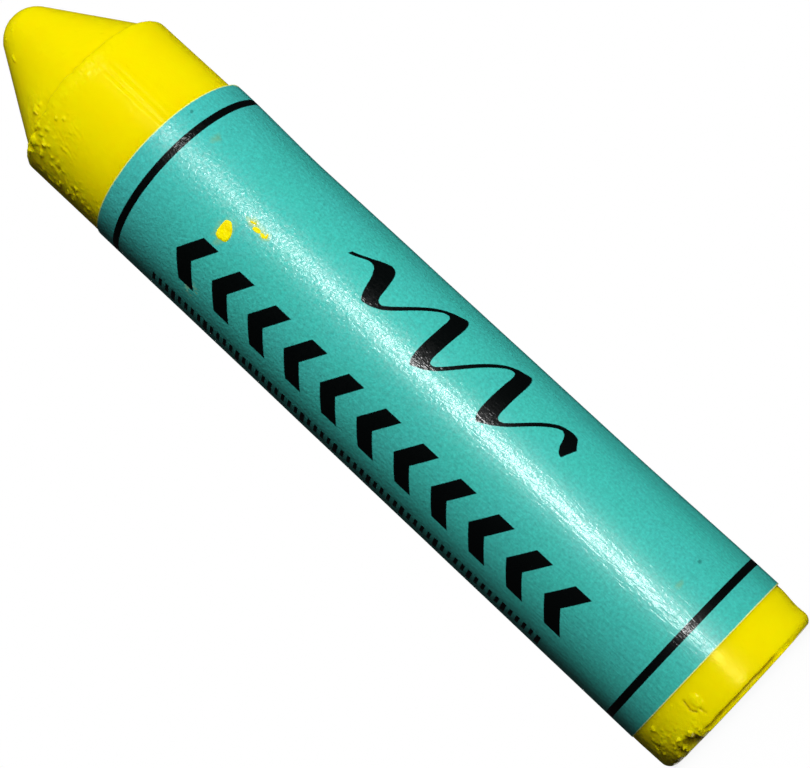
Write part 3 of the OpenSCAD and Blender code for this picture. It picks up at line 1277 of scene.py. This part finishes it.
    def build(self) -> bpy.types.Object:
        """Work out the whole surface and make the piece.

        Each point of the outline is turned round the axis, shifted along it by the
        shoulder's waves, and moved along its normal by the sum of all the reliefs.

        Returns:
            The piece, riding on the body and standing for the CAD solid.
        """
        outline = self.outline()
        slope = np.gradient(outline, axis=0)
        side = np.stack([slope[:, 1], -slope[:, 0]], axis=-1)
        side /= np.linalg.norm(side, axis=1, keepdims=True)
        inner = outline[1:-1]
        even = np.arange(self.around) * 360.0 / self.around - 180.0
        turn = even - self.crowding * np.sin(np.radians(even - self.dense))
        angle = np.broadcast_to(turn, (len(inner), self.around))
        r, z = inner[:, :1], inner[:, 1:]
        normals = round_axis(side[1:-1, :1], np.radians(angle), side[1:-1, 1:])
        points = round_axis(r, np.radians(angle), z)
        near_crest = hump(z - self.barrel + 0.2 * MM, 1.1 * MM) * (z < self.barrel + 2.0 * MM)
        points[..., 2] += self._waves(turn) * near_crest

        lift, rough = self._roughness(points, angle)
        broken = self._broken(points, normals)
        grooves = np.zeros(angle.shape)
        for scratch in self.scratches:
            grooves = grooves + scratch.relief(angle, points[..., 2], self.radius)
        lift = lift + grooves + self._swell(angle, r, z)
        low, high = self.covered
        under = smooth_step((z - low - 0.1 * MM) / (0.4 * MM))
        under = under * smooth_step((high - 0.1 * MM - z) / (0.4 * MM))
        lift = (lift + broken) * (1.0 - under) - 0.03 * MM * under
        points = points + normals * lift[..., None]
        points = points + round_axis(self._flange(angle, r, z), np.radians(angle), 0.0)
        points[..., 2] = np.maximum(points[..., 2], 0.0)

        rows, cols = len(inner), self.around
        number, after = numbered(rows, cols)
        poles = np.array([[0.0, 0.0, 0.0], [0.0, 0.0, outline[-1, 1]]])
        foot = corner_runs(np.array(rows * cols), after[0], number[0])
        head = corner_runs(number[-1], after[-1], np.array(rows * cols + 1))
        piece = build_mesh(
            "stick_wax",
            np.concatenate([points.reshape(-1, 3), poles]),
            corner_runs(number[:-1], after[:-1], after[1:], number[1:]),
            np.concatenate([foot, head]),
            crease=42.0,
        )
        wear_and_shade = self._wear_and_shade(points, angle, z, rough, broken, grooves).reshape(-1, 3)
        add_point_vectors(piece, "wear_and_shade", np.concatenate([wear_and_shade, np.zeros((2, 3))]))
        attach(piece, "root")
        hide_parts("wax_stick")
        return piece


# -------------------------------------------------------------- the paper label


@dataclass
class PaperLabel:
    """A printed sheet wound once round the barrel and pasted down on itself.

    Attributes:
        inner: Radius of the sheet's back, in its first layer.
        low: Height of its lower edge above the tail face.
        high: Height of its upper edge.
        thickness: Thickness of the paper.
        lap_angle: Where the second layer starts to rise, in degrees.
        lap: Length of paper that lies on the first layer.
        skew: How far the sheet has crept along the stick over one turn.
        front: Angle at which its creep is 0 and its printing is centred.
        paste: Gap between the two layers at the lap.
        loose_at: Angle near the lap at which the sheet stands off most.
        loose: How far it stands off there, and how much more at the nose's end and
            at the tail's, in millimetres.
        free_lift: Lift of the free edge, in millimetres.
        flutter: Unevenness of that lift.
        waves: Wide and narrow waves of the pasted sheet, from -0.5 to 0.5.
        wave_heights: Heights of those waves, in millimetres.
        across: Columns along the sheet's length.
        along: Rows along its height.
    """

    inner: float = 11.02 * MM
    low: float = 5.25 * MM
    high: float = 86.55 * MM
    thickness: float = 0.1 * MM
    lap_angle: float = -22.0
    lap: float = 6.0 * MM
    skew: float = -0.53 * MM
    front: float = 270.0
    paste: float = 0.006 * MM
    loose_at: float = -8.0
    loose: tuple[float, float, float] = (0.05, 0.38, 0.16)
    free_lift: float = 0.05
    flutter: Ripple = Ripple(14.0 * MM, 1.0, 41)
    waves: tuple[Ripple, Ripple] = (Ripple(9.0 * MM, 0.5, 31, 2), Ripple(2.6 * MM, 0.5, 37))
    wave_heights: tuple[float, float] = (0.035, 0.008)
    across: int = 372
    along: int = 110

    def creep(self, turn: Array) -> Array:
        """Return how far the skew has moved the sheet along the stick, in metres."""
        return self.skew * (turn - self.front) / 360.0

    def turns(self) -> tuple[float, float, float]:
        """Return where the sheet starts, starts to rise and ends, in degrees."""
        top = self.inner + 2.0 * self.thickness
        start = self.lap_angle + math.degrees(math.acos(self.inner / top))
        return start, self.lap_angle + 360.0, start + 360.0 + math.degrees(self.lap / top)

    def place(self, turn: Array, height: Array, lift: Array | float) -> Array:
        """Positions on the sheet, or above its back.

        The radius is the back's radius plus the rise on to the first layer, which
        goes from 0 to one thickness, plus a wide low waviness, plus a loose part by
        the lap that swells smoothly towards both ends of the sheet, plus a little
        lift at the free edge, plus the wanted lift.

        Args:
            turn: Angles along the wound sheet in degrees, which pass 360.
            height: Heights on the flat sheet in metres.
            lift: Distance above the sheet's back in metres.

        Returns:
            The positions, with the three axes last.
        """
        start, rise, end = self.turns()
        turn, height = np.broadcast_arrays(turn, height)
        flat = np.stack([self.inner * np.radians(turn), height, 0.0 * turn], axis=-1)
        layer = smooth_step((turn - rise) / (start + 360.0 - rise))
        layer = layer * (self.thickness + self.paste)
        waves = 0.0
        for wave, tall in zip(self.waves, self.wave_heights):
            waves = waves + (0.5 + wave.at(flat)) * tall * MM
        waves = waves * smooth_step((turn - start) / 25.0)
        near_lap = hump(angle_gap(turn, self.loose_at), 27.0) * (turn > 180.0)
        to_nose = smooth_step((height - self.high + 14.0 * MM) / (13.0 * MM))
        to_tail = smooth_step((self.low + 20.0 * MM - height) / (18.0 * MM))
        middle, by_nose, by_tail = self.loose
        stand_off = near_lap * (middle + by_nose * to_nose + by_tail * to_tail) * MM
        free = np.clip((turn - end + 5.0) / 5.0, 0.0, 1.0) ** 2 * self.free_lift * MM
        free = free * (1.0 + self.flutter.at(flat))
        radius = self.inner + layer + waves + stand_off + free + lift
        return round_axis(radius, np.radians(turn), height + self.creep(turn))

    def build(self) -> bpy.types.Object:
        """Make the sheet as one closed shell with its cut edges.

        Rows run up the stick. Each row goes along the printed face from the hidden
        start to the free edge and comes back along the back of the paper; strips
        close the shell along the lower and upper edge.

        Returns:
            The piece, riding on the body and standing for the CAD solid.
        """
        start, _, end = self.turns()
        rows, cols = self.along + 1, self.across + 1
        turn = np.linspace(start, end, cols)
        height = np.linspace(self.low, self.high, rows)[:, None]
        face = self.place(turn[None, :], height, self.thickness)
        back = self.place(turn[None, :], height, 0.0)
        number, after = numbered(rows, 2 * cols)
        out, under = number[:, :cols], number[:, : cols - 1 : -1]
        quads = [
            corner_runs(number[:-1], after[:-1], after[1:], number[1:]),
            corner_runs(out[0, 1:], out[0, :-1], under[0, :-1], under[0, 1:]),
            corner_runs(out[-1, :-1], out[-1, 1:], under[-1, 1:], under[-1, :-1]),
        ]
        rings = np.concatenate([face, back[:, ::-1]], axis=1).reshape(-1, 3)
        piece = build_mesh("label_sheet", rings, np.concatenate(quads), crease=35.0)

        arc = np.radians(turn - self.front) * (self.inner + self.thickness) / MM
        sides = [np.broadcast_arrays(arc, height / MM, printed) for printed in (1.0, 0.0)]
        face, back = (np.stack(side, axis=-1) for side in sides)
        sheet = np.concatenate([face, back[:, ::-1]], axis=1).reshape(-1, 3)
        add_point_vectors(piece, "sheet", sheet)
        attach(piece, "root")
        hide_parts("paper_label")
        return piece


@dataclass(frozen=True)
class Smear:
    """One dab of wax that sits on the label.

    Attributes:
        angle: Place of its centre round the stick in degrees.
        height: Height of its centre in millimetres.
        reach: Half its length round and half its length along, in millimetres.
        lean: Turn of its long side in degrees.
        taper: How much narrower it is at its far end, from 0 to 1.
        thickness: Greatest thickness in millimetres.
        seed: Seed of its uneven outline.
    """

    angle: float
    height: float
    reach: tuple[float, float]
    lean: float
    taper: float
    thickness: float
    seed: int


@dataclass
class LabelCrumbs:
    """Dabs and crumbs of wax that have stuck to the label.

    Attributes:
        label: The label that they sit on.
        dabs: Each dab.
        spokes: Points round each dab.
        rings: Rings from a dab's centre to its edge.
        seat: Gap between the label and a dab.
    """

    label: PaperLabel
    dabs: tuple[Smear, ...] = (
        Smear(-97.2, 73.2, (1.2, 1.0), 17.0, 0.32, 0.16, 1),
        Smear(-84.4, 70.7, (0.5, 0.32), 100.0, 0.2, 0.05, 2),
        Smear(-84.3, 69.75, (0.42, 0.22), 75.0, 0.3, 0.035, 3),
        Smear(-83.0, 69.35, (0.3, 0.14), 20.0, 0.1, 0.03, 4),
        Smear(-82.6, 71.5, (0.36, 0.12), 105.0, 0.1, 0.03, 5),
        Smear(62.0, 15.5, (0.6, 0.9), 30.0, 0.3, 0.06, 7),
    )
    spokes: int = 48
    rings: int = 12
    seat: float = 0.003 * MM

    def _dab(self, dab: Smear) -> tuple[Array, Array, Array]:
        """Surface of one dab.

        A disc's radius t and angle a give the place t * R(a), where R is the
        outline's ellipse narrowed towards its far end and roughened by noise. The
        top stands thickness * (1 - t^6) * (1 + noise) above the label, and a third
        less away from its rim.

        Args:
            dab: Its sizes.

        Returns:
            Points, quads and triangles, numbered from 0.
        """
        a = np.arange(self.spokes) * 2.0 * math.pi / self.spokes
        t = np.linspace(0.0, 1.0, self.rings + 1)[1:, None]
        edge = 1.0 + 0.15 * lattice_noise(round_axis(0.5, a, 0.0), 0.55, dab.seed, 2)
        x = t * edge * np.cos(a)
        y = t * edge * np.sin(a) * (1.0 - dab.taper * (0.5 + 0.5 * x))
        x, y = x * dab.reach[0], y * dab.reach[1]
        lean = math.radians(dab.lean)
        u = x * math.cos(lean) - y * math.sin(lean)
        v = x * math.sin(lean) + y * math.cos(lean)
        spot = np.stack([u, v, 0.0 * u], axis=-1)
        bumps = 1.0 + 0.35 * lattice_noise(spot, 0.32, dab.seed + 50, 2)
        rim = 0.65 + 0.35 * hump(t - 0.82, 0.14)
        top = dab.thickness * (1.0 - t**6) * bumps * rim + 0.012
        outer = self.label.inner + self.label.thickness
        turn = (dab.angle % 360.0) + np.degrees(u * MM / outer)
        height = dab.height * MM + v * MM - self.label.creep(turn)
        base = self.label.thickness + self.seat
        crown = self.label.place(turn, height, base + top * MM)
        foot = self.label.place(turn, height, base)
        middle = np.array([[dab.angle % 360.0]]), np.array([[dab.height * MM]])
        peak = self.label.place(*middle, base + dab.thickness * 0.7 * MM)[0]
        heel = self.label.place(*middle, base)[0]
        points = np.concatenate([crown.reshape(-1, 3), foot.reshape(-1, 3), peak, heel])

        count = self.rings * self.spokes
        upper, after = numbered(self.rings, self.spokes)
        lower, beyond = numbered(self.rings, self.spokes, count)
        quads = [
            corner_runs(upper[:-1], upper[1:], after[1:], after[:-1]),
            corner_runs(lower[:-1], beyond[:-1], beyond[1:], lower[1:]),
            corner_runs(upper[-1], lower[-1], beyond[-1], after[-1]),
        ]
        crown_fan = corner_runs(np.array(2 * count), upper[0], after[0])
        foot_fan = corner_runs(np.array(2 * count + 1), beyond[0], lower[0])
        return points, np.concatenate(quads), np.concatenate([crown_fan, foot_fan])

    def build(self) -> bpy.types.Object:
        """Make all the dabs as one piece that rides on the body."""
        parts: tuple[list[Array], ...] = ([], [], [])
        count = 0
        for dab in self.dabs:
            points, quads, triangles = self._dab(dab)
            for part, rows in zip(parts, (points, quads + count, triangles + count)):
                part.append(rows)
            count += len(points)
        piece = build_mesh("wax_smears", *map(np.concatenate, parts), crease=50.0)
        add_point_vectors(piece, "wear_and_shade", np.tile([0.8, 0.0, 0.0], (count, 1)))
        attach(piece, "root")
        return piece


# ------------------------------------------------------------------- the studio


@dataclass(frozen=True)
class Softbox:
    """A rectangular studio lamp that points at the stick.

    Attributes:
        name: Its name.
        bearing: Its direction from the stick, in degrees from the front to +X.
        distance: Its distance from the axis in metres.
        height: Height of its middle in metres.
        size: Its width and length in metres.
        glow: Brightness of its face, where 1 looks white.
        lean: Turn of its long side from upright, in degrees towards +X.
        aim: Height that it points at in metres.
        mirrored: Whether glossy reflections show it.
    """

    name: str
    bearing: float
    distance: float
    height: float
    size: tuple[float, float]
    glow: float
    lean: float = 0.0
    aim: float = 0.05
    mirrored: bool = False

    def build(self) -> bpy.types.Object:
        """Add the lamp; its power is glow * pi * the area of its face."""
        lamp = bpy.data.lights.new(self.name, "AREA")
        lamp.shape = "RECTANGLE"
        lamp.size, lamp.size_y = self.size
        lamp.energy = self.glow * math.pi * self.size[0] * self.size[1]
        holder = add_object(self.name, lamp)
        a = math.radians(self.bearing)
        place = Vector((math.sin(a) * self.distance, -math.cos(a) * self.distance, self.height))
        back = (place - Vector((0.0, 0.0, self.aim))).normalized()
        lean = math.radians(self.lean)
        side = Vector((math.cos(a), math.sin(a), 0.0))
        up = Vector((0.0, 0.0, 1.0)) * math.cos(lean) + side * math.sin(lean)
        right = up.cross(back).normalized()
        stand(holder, place, (right, back.cross(right), back))
        holder.visible_camera = False
        holder.visible_glossy = self.mirrored
        return holder


@dataclass
class Studio:
    """The pale floor, the lamps, the surrounding tent and the camera.

    Attributes:
        lamps: The lamps.
        ambient: Brightness of the light from all round.
        floor_half: Half the side of the floor.
        tent_radius: Radius of the dim tent that reflections see.
        tent_foot: Radius at which its ground sheet ends, just inside the stick.
        tent_clear: Height of that ground sheet over the floor.
        tent_glow: Brightness of that tent.
        eye: Place of the camera.
        rise: How far the camera looks up, in degrees.
        roll: Turn of the camera about its view, in degrees.
        lens: Focal length for a 36 mm sensor, in millimetres.
    """

    lamps: tuple[Softbox, ...] = (
        Softbox("key_strip", 17.2, 0.45, 0.075, (0.014, 0.175), 89.0, 32.0, 0.05, True),
        Softbox("key_upper", 23.0, 0.46, 0.2, (0.014, 0.11), 30.0, 26.0, 0.06, True),
        Softbox("key_wide", 25.0, 0.62, 0.26, (0.26, 0.66), 6.5, 0.0, 0.05),
        Softbox("side_fill", 84.0, 0.7, 0.14, (0.42, 0.5), 0.15, 0.0, 0.06),
        Softbox("back_fill", 180.0, 0.8, 0.3, (0.6, 0.6), 6.8, 0.0, 0.05),
    )
    ambient: float = 0.022
    floor_half: float = 2.5
    tent_radius: float = 1.3
    tent_foot: float = 10.5 * MM
    tent_clear: float = 0.02 * MM
    tent_glow: float = 0.008
    eye: tuple[float, float, float] = (-0.000115, -0.2455, 0.0046)
    rise: float = 10.36
    roll: float = 47.027
    lens: float = 100.76

    def _floor(self) -> None:
        """Lay a pale floor that looks white and keeps the stick's shadow."""
        material, graph = new_material("pale_floor")
        path = graph.node("ShaderNodeLightPath")
        place = graph.out(graph.node("ShaderNodeTexCoord"), "Object")
        grain = graph.noise(place, 900.0, 3.0)
        tint = graph.mix(grain, (0.82, 0.82, 0.82, 1.0), (0.86, 0.86, 0.86, 1.0))
        x, y, _ = graph.parts(place)
        near = 1.0 / (1.0 + (x * x + y * y) * 1100.0)
        soaked = graph.mix(graph.out(path, "Is Diffuse Ray"), tint, (0.1, 0.1, 0.1, 1.0))
        matt = graph.out(graph.node("ShaderNodeBsdfDiffuse", sockets={"Color": soaked}))
        share = graph.seen(path) * (1.0 - 0.15 * near)
        sockets = {0: share, 1: matt, 2: graph.emission(1.0)}
        finish_material(graph, graph.out(graph.node("ShaderNodeMixShader", sockets=sockets)))
        signs = np.array([[-1.0, -1.0, 0.0], [1.0, -1.0, 0.0], [1.0, 1.0, 0.0], [-1.0, 1.0, 0.0]])
        floor = build_mesh("floor", signs * self.floor_half, np.array([[0, 1, 2, 3]]))
        dress(floor, material)

    def _tent(self) -> None:
        """Hang a dim round tent that only reflections see.

        Its wall is radius * (cos b cos a, cos b sin a, sin b), for a from 0 to 360
        degrees and b from 0 to 88 degrees. Its ground sheet lies just over the floor
        and runs in to the stick.
        """
        a = np.radians(np.arange(64) * 360.0 / 64)
        b = np.radians(np.linspace(0.0, 88.0, 20))[:, None]
        dome = round_axis(np.cos(b), a, np.sin(b)) * self.tent_radius
        dome = np.concatenate([round_axis(self.tent_foot, a, 0.0)[None], dome])
        dome[:2, :, 2] = self.tent_clear
        number, after = numbered(*dome.shape[:2])
        quads = corner_runs(number[:-1], number[1:], after[1:], after[:-1])
        tent = build_mesh("tent", dome.reshape(-1, 3), quads)
        material, graph = new_material("tent_cloth")
        finish_material(graph, graph.emission(self.tent_glow))
        dress(tent, material)
        tent.visible_camera = tent.visible_transmission = False
        tent.visible_diffuse = tent.visible_shadow = False

    def _world(self) -> None:
        """Make the world white behind the stick and dim as a source of light."""
        world = bpy.data.worlds.new("studio_air")
        bpy.context.scene.world = world
        world.use_nodes = True
        graph = Graph(world.node_tree)
        seen = graph.seen(graph.node("ShaderNodeLightPath"))
        strength = self.ambient + seen * (1.0 - self.ambient)
        sockets = {"Color": WHITE, "Strength": strength}
        air = graph.node("ShaderNodeBackground", sockets=sockets)
        graph.node("ShaderNodeOutputWorld", sockets={"Surface": graph.out(air)})

    def _camera(self) -> None:
        """Set up the camera: level to the front, raised, then rolled about its view."""
        data = bpy.data.cameras.new("camera")
        data.sensor_width = 36.0
        data.lens = self.lens
        data.clip_start, data.clip_end = 0.01, 20.0
        camera = add_object("camera", data)
        tilt, roll = math.radians(self.rise), math.radians(self.roll)
        forward = Vector((0.0, math.cos(tilt), math.sin(tilt)))
        side = Vector((1.0, 0.0, 0.0))
        rise = Vector((0.0, -math.sin(tilt), math.cos(tilt)))
        right = side * math.cos(roll) - rise * math.sin(roll)
        up = side * math.sin(roll) + rise * math.cos(roll)
        stand(camera, Vector(self.eye), (right, up, -forward))
        bpy.context.scene.camera = camera

    def build(self) -> None:
        """Set up the floor, tent, world, lamps, camera and plain view settings."""
        self._floor()
        self._tent()
        self._world()
        for lamp in self.lamps:
            lamp.build()
        self._camera()
        bpy.context.scene.view_settings.view_transform = "Standard"


def main() -> None:
    """Load the frame, build and dress every piece, and set up the studio."""
    logging.basicConfig(level=logging.INFO, format="%(name)s: %(message)s")
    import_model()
    wax_low, wax_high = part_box("wax_stick")
    label_low, label_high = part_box("paper_label")

    label = PaperLabel(low=label_low.z - 0.25 * MM, high=label_high.z + 0.05 * MM)
    stick = WaxStick(radius=(wax_high.x - wax_low.x) / 2.0, covered=(label.low, label.high))
    crumbs = LabelCrumbs(label)
    wax = WaxFinish()
    paper = LabelFinish()
    dabs = WaxFinish(bruised=(1.0, 0.93, 0.0, 1.0), inner_glow=0.0)
    for piece, material in (
        (stick.build(), wax.material("yellow_wax_finish")),
        (label.build(), paper.material("label_paper_finish")),
        (crumbs.build(), dabs.material("wax_dab_finish")),
    ):
        dress(piece, material)
        log.info("%s: %d faces", piece.name, len(piece.data.polygons))
    Studio().build()


if __name__ == "__main__":
    main()
